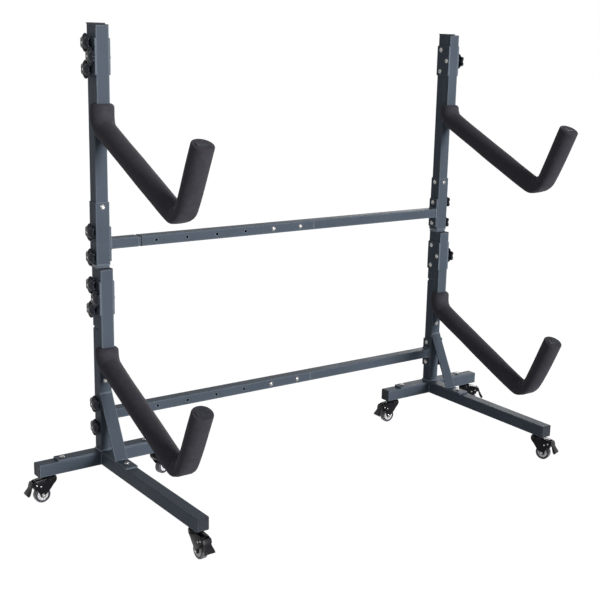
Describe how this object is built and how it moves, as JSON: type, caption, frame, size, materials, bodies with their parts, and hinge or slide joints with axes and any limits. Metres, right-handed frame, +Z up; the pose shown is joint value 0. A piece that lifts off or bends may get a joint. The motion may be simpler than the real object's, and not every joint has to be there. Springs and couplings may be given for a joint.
{
  "type": "freestanding kayak rack",
  "caption": "Freestanding rack that holds kayaks on padded J-shaped cradle arms, with telescoping beams between two uprights and T-shaped feet on braked swivel casters.",
  "frame": {"origin": "middle of the rack's box in plan, on the floor the casters stand on, with the width slide closed", "axes": "+X along the beams from the left upright to the right one, +Y from the cradles' tips towards the posts, +Z up"},
  "size_m": [1.8686, 0.6892, 1.424],
  "materials": {
    "powder_coat": "satin slate-grey powder coat",
    "zinc": "bright zinc plate",
    "foam": "matt closed-cell foam",
    "knob_plastic": "moulded black nylon",
    "cap_plastic": "moulded black plastic",
    "fork_black": "gloss black",
    "pedal_black": "ribbed black plastic",
    "wheel_centre": "white plastic",
    "tread": "soft translucent polyurethane"
  },
  "bodies": {
    "left_frame": {"crossbar_left": "powder_coat", "leg_left": "powder_coat", "base_plate_left": "powder_coat", "base_post_left": "powder_coat", "brace_left": "powder_coat", "middle_post_left": "powder_coat", "top_post_left": "powder_coat", "upper_arm_left": "powder_coat", "lower_arm_left": "powder_coat", "upper_grip_left": "foam", "lower_grip_left": "foam", "clamp_plates_left": "powder_coat", "knobs_left": "knob_plastic", "fasteners_left": "zinc", "tube_caps_left": "cap_plastic", "upper_beam_left": "powder_coat", "upper_beam_middle": "powder_coat", "lower_beam_left": "powder_coat", "lower_beam_middle": "powder_coat"},
    "right_frame": {"crossbar_right": "powder_coat", "leg_right": "powder_coat", "base_plate_right": "powder_coat", "base_post_right": "powder_coat", "brace_right": "powder_coat", "middle_post_right": "powder_coat", "top_post_right": "powder_coat", "upper_arm_right": "powder_coat", "lower_arm_right": "powder_coat", "upper_grip_right": "foam", "lower_grip_right": "foam", "clamp_plates_right": "powder_coat", "knobs_right": "knob_plastic", "fasteners_right": "zinc", "tube_caps_right": "cap_plastic", "upper_beam_right": "powder_coat", "lower_beam_right": "powder_coat"},
    "swivel_left_outer": {"fork_left_outer": "fork_black"},
    "roller_left_outer": {"wheel_left_outer": "wheel_centre", "tread_left_outer": "tread"},
    "brake_left_outer": {"pedal_left_outer": "pedal_black"},
    "swivel_left_inner": {"fork_left_inner": "fork_black"},
    "roller_left_inner": {"wheel_left_inner": "wheel_centre", "tread_left_inner": "tread"},
    "brake_left_inner": {"pedal_left_inner": "pedal_black"},
    "swivel_left_front": {"fork_left_front": "fork_black"},
    "roller_left_front": {"wheel_left_front": "wheel_centre", "tread_left_front": "tread"},
    "brake_left_front": {"pedal_left_front": "pedal_black"},
    "swivel_right_inner": {"fork_right_inner": "fork_black"},
    "roller_right_inner": {"wheel_right_inner": "wheel_centre", "tread_right_inner": "tread"},
    "brake_right_inner": {"pedal_right_inner": "pedal_black"},
    "swivel_right_outer": {"fork_right_outer": "fork_black"},
    "roller_right_outer": {"wheel_right_outer": "wheel_centre", "tread_right_outer": "tread"},
    "brake_right_outer": {"pedal_right_outer": "pedal_black"},
    "swivel_right_front": {"fork_right_front": "fork_black"},
    "roller_right_front": {"wheel_right_front": "wheel_centre", "tread_right_front": "tread"},
    "brake_right_front": {"pedal_right_front": "pedal_black"}
  },
  "joints": [
    {"name": "width_slide", "type": "slide", "parent": "left_frame", "child": "right_frame", "axis": [1, 0, 0], "range_m": [0, 0.216]},
    {"name": "left_outer_swivel", "type": "hinge", "parent": "left_frame", "child": "swivel_left_outer", "pos_m": [-0.85825, 0.30263, 0.075], "axis": [0, 0, 1], "continuous": true},
    {"name": "left_outer_roll", "type": "hinge", "parent": "swivel_left_outer", "child": "roller_left_outer", "pos_m": [-0.88226, 0.30263, 0.025], "axis": [0, -1, 0], "continuous": true},
    {"name": "left_outer_brake", "type": "hinge", "parent": "swivel_left_outer", "child": "brake_left_outer", "pos_m": [-0.90195, 0.30263, 0.0599], "axis": [0, -1, 0], "range_deg": [0, 12]},
    {"name": "left_inner_swivel", "type": "hinge", "parent": "left_frame", "child": "swivel_left_inner", "pos_m": [-0.49025, 0.30263, 0.075], "axis": [0, 0, 1], "continuous": true},
    {"name": "left_inner_roll", "type": "hinge", "parent": "swivel_left_inner", "child": "roller_left_inner", "pos_m": [-0.4677, 0.31084, 0.025], "axis": [-0.342, 0.9397, 0], "continuous": true},
    {"name": "left_inner_brake", "type": "hinge", "parent": "swivel_left_inner", "child": "brake_left_inner", "pos_m": [-0.44919, 0.31758, 0.0599], "axis": [-0.342, 0.9397, 0], "range_deg": [0, 12]},
    {"name": "left_front_swivel", "type": "hinge", "parent": "left_frame", "child": "swivel_left_front", "pos_m": [-0.67426, -0.26737, 0.075], "axis": [0, 0, 1], "continuous": true},
    {"name": "left_front_roll", "type": "hinge", "parent": "swivel_left_front", "child": "roller_left_front", "pos_m": [-0.67342, -0.29135, 0.025], "axis": [0.9994, 0.0349, 0], "continuous": true},
    {"name": "left_front_brake", "type": "hinge", "parent": "swivel_left_front", "child": "brake_left_front", "pos_m": [-0.67273, -0.31104, 0.0599], "axis": [0.9994, 0.0349, 0], "range_deg": [0, 12]},
    {"name": "right_inner_swivel", "type": "hinge", "parent": "right_frame", "child": "swivel_right_inner", "pos_m": [0.49774, 0.30263, 0.075], "axis": [0, 0, 1], "continuous": true},
    {"name": "right_inner_roll", "type": "hinge", "parent": "swivel_right_inner", "child": "roller_right_inner", "pos_m": [0.47376, 0.30347, 0.025], "axis": [-0.0349, -0.9994, 0], "continuous": true},
    {"name": "right_inner_brake", "type": "hinge", "parent": "swivel_right_inner", "child": "brake_right_inner", "pos_m": [0.45407, 0.30416, 0.0599], "axis": [-0.0349, -0.9994, 0], "range_deg": [0, 12]},
    {"name": "right_outer_swivel", "type": "hinge", "parent": "right_frame", "child": "swivel_right_outer", "pos_m": [0.86574, 0.30263, 0.075], "axis": [0, 0, 1], "continuous": true},
    {"name": "right_outer_roll", "type": "hinge", "parent": "swivel_right_outer", "child": "roller_right_outer", "pos_m": [0.88386, 0.28689, 0.025], "axis": [0.6561, 0.7547, 0], "continuous": true},
    {"name": "right_outer_brake", "type": "hinge", "parent": "swivel_right_outer", "child": "brake_right_outer", "pos_m": [0.89872, 0.27396, 0.0599], "axis": [0.6561, 0.7547, 0], "range_deg": [0, 12]},
    {"name": "right_front_swivel", "type": "hinge", "parent": "right_frame", "child": "swivel_right_front", "pos_m": [0.68175, -0.26737, 0.075], "axis": [0, 0, 1], "continuous": true},
    {"name": "right_front_roll", "type": "hinge", "parent": "swivel_right_front", "child": "roller_right_front", "pos_m": [0.68995, -0.28992, 0.025], "axis": [0.9397, 0.342, 0], "continuous": true},
    {"name": "right_front_brake", "type": "hinge", "parent": "swivel_right_front", "child": "brake_right_front", "pos_m": [0.69669, -0.30843, 0.0599], "axis": [0.9397, 0.342, 0], "range_deg": [0, 12]}
  ]
}
